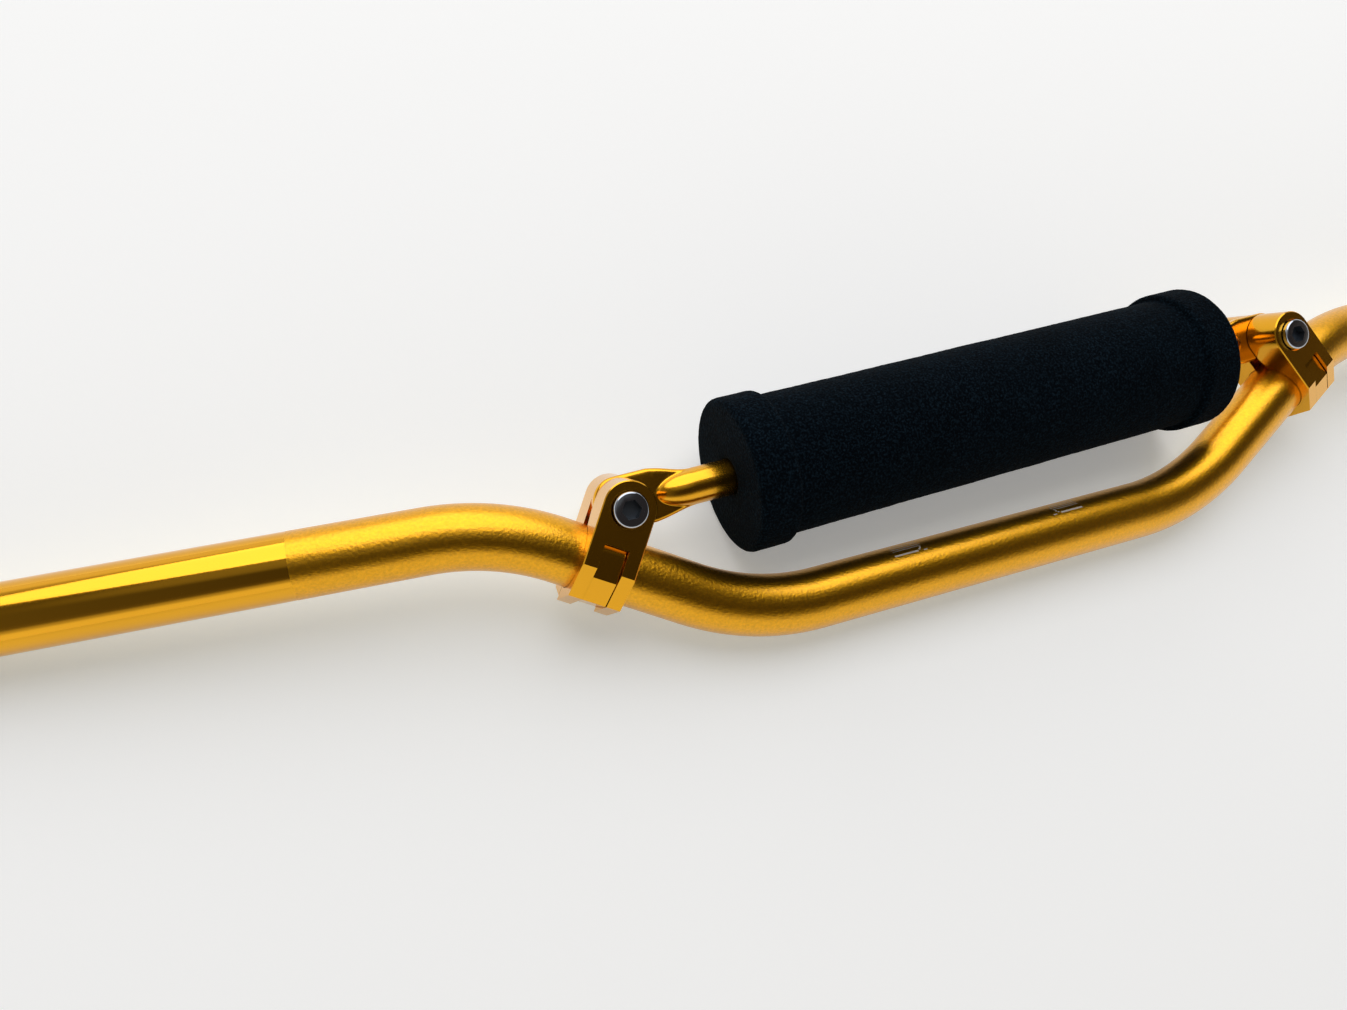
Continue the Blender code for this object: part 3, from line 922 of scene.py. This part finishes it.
def broken_edges(jaw):
    """Breaks the sharp edges of a machined jaw, all but those of its close joint."""
    bm = bmesh.new()
    bm.from_mesh(jaw.data)
    layers = bm.edges.layers.float
    weight = layers.get("bevel_weight_edge") or layers.new("bevel_weight_edge")
    for e in bm.edges:
        sharp = len(e.link_faces) == 2 and e.calc_face_angle(0.0) > sharp_from
        joint = all(at_close_joint(v) for v in e.verts)
        e[weight] = 1.0 if sharp and not joint else 0.0
    bm.to_mesh(jaw.data)
    bm.free()
    fine = jaw.modifiers.new("broken_edges", "BEVEL")
    fine.width = broken_edge
    fine.segments = 2
    fine.limit_method = "WEIGHT"
    flats = jaw.modifiers.new("flat_faces", "WEIGHTED_NORMAL")
    flats.keep_sharp = True
    jaw.data.shade_smooth()
    deps = bpy.context.evaluated_depsgraph_get()
    deps.update()
    mesh = bpy.data.meshes.new_from_object(jaw.evaluated_get(deps))
    jaw.modifiers.clear()
    jaw.data = mesh


seat = seat_reamer()
jaw_gold = anodised(
    "gold_jaw", roughness=0.19, spread=0.03, grain_scale=900.0, bump=0.06, coat_roughness=0.12)
for side, word in ((-1, "left"), (1, "right")):
    front = ear_blank("jaw_front_" + word, side, -jaw_face, jaw_face, jaw_face)
    outline = [(half_ear_gap, ear_top), (jaw_stock, ear_top)]
    outline += [(jaw_stock, reach_line(chin, shoulder, jaw_stock)), chin]
    outline += [front_sole, (0.0, 0.0)] + front_ear_foot
    machine(front, side_plate("profile", outline, -past_side, past_side, side), "INTERSECT")
    machine(front, seat, "DIFFERENCE", keep=True)
    mouth = [(-jaw_face, -past), (past, -past), (past, slot_top), (-jaw_face, slot_top)]
    machine(front, side_plate("slot", mouth, -prong_at, prong_at, side), "DIFFERENCE")
    machine(front, hole(side, bolt_hole_r, -drill_over, past), "DIFFERENCE")
    head_seat = hole(side, head_r + head_room, jaw_face - counterbore, past)
    machine(front, head_seat, "DIFFERENCE")

    rear = ear_blank("jaw_rear_" + word, side, -jaw_face, jaw_stock, -jaw_face)
    outline = [(-half_ear_gap, ear_top), (-half_ear_gap, rear_ear_foot), (0.0, 0.0)]
    outline.append((tongue_back, tongue_tip))
    tongue_middle = (tongue_face - tongue_round, tongue_tip - tongue_round / 2)
    outline += arc(tongue_middle, tongue_round, 30.0, 0.0, steps=8)
    outline += [(tongue_face, reach_line(chin, shoulder, tongue_face)), chin, rear_sole, heel]
    outline += [(-jaw_stock, reach_line(heel, heel_top, -jaw_stock)), (-jaw_stock, ear_top)]
    machine(rear, side_plate("profile", outline, -past_side, past_side, side), "INTERSECT")
    machine(rear, seat, "DIFFERENCE", keep=True)
    room = [(0.0, 0.0), (room_back, room_low), (past, room_low), (past, room_top)]
    room.append((0.0, room_top))
    for low, high in ((prong_at - prong_close, past_side), (-past_side, prong_room - prong_at)):
        machine(rear, side_plate("prong_room", room, low, high, side), "DIFFERENCE")
    machine(rear, hole(side, bolt_hole_r, -past, drill_over), "DIFFERENCE")

    for jaw, node in ((front, "clamp_front_" + word), (rear, "clamp_rear_" + word)):
        broken_edges(jaw)
        jaw.data.materials.clear()
        jaw.data.materials.append(jaw_gold)
        laid_down(jaw)
        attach(jaw, "root")
        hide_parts(node)
bpy.data.objects.remove(seat, do_unlink=True)

# Clamp bolts.
# M8 socket cap screws, turned and plated bright: a round head with a rounded rim, a hexagon
# socket, and a shank that goes down through both ears and the crossbar's eye.
bolt_r = 0.0040
bolt_end = -jaw_face + 0.0006
bolt_chamfer = 0.0008
head_top = jaw_face + 0.0023
head_low = head_top - 0.0052
head_rim = 0.0008
head_break = 0.0002
head_sides = 96
socket_depth = 0.0034
socket_corner = 0.003 / math.cos(math.radians(30.0))
socket_low = head_top - socket_depth


def plated(name, colour, roughness):
    """Plated steel: bright for the bolts, and dark in their sockets, where the dark is partly
    painted shade.
    """
    m, p, _ = grained(name, {
        "Grain Scale": 700.0,
        "Colour": (*colour, 1.0),
        "Roughness": roughness,
        "Spread": 0.05,
    })
    p.inputs["Metallic"].default_value = 1.0
    return m


steel = plated("zinc_steel", (0.50, 0.54, 0.60), 0.12)
# The socket's dark steel is partly its own unplated steel and partly painted shade that darkens
# the recess.
socket_steel_and_shade = plated("socket_steel_and_shade", (0.14, 0.16, 0.18), 0.4)
for side, word in ((-1, "left"), (1, "right")):
    profile = [(0.0, bolt_end), (bolt_r - bolt_chamfer, bolt_end)]
    profile += [(bolt_r, bolt_end + bolt_chamfer), (bolt_r, head_low)]
    profile += [(head_r - head_break, head_low), (head_r, head_low + head_break)]
    profile += arc((head_r - head_rim, head_top - head_rim), head_rim, 0.0, 90.0, steps=6)
    profile.append((0.0, head_top))
    at = bar_place @ bolt_place(side)
    bolt = turned("cap_bolt_" + word, profile, head_sides, at, crease=40.0)
    hexagon = arc((0.0, 0.0), socket_corner, 30.0, 330.0, steps=5)
    machine(bolt, plate("hex_key", hexagon, socket_low, head_top + 0.002, at), "DIFFERENCE")
    bolt.data.materials.clear()
    bolt.data.materials.append(steel)
    bolt.data.materials.append(socket_steel_and_shade)
    # Faces down inside the hexagon socket take the dark steel: their own duller steel plus
    # painted shade in the recess.
    for face in bolt.data.polygons:
        middle = face.center
        in_depth = socket_low - 0.0001 < middle.z < head_top - 0.00001
        if in_depth and math.hypot(middle.x, middle.y) < socket_corner:
            face.material_index = 1
    laid_down(bolt)
    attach(bolt, "root")
    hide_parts("clamp_bolt_" + word)
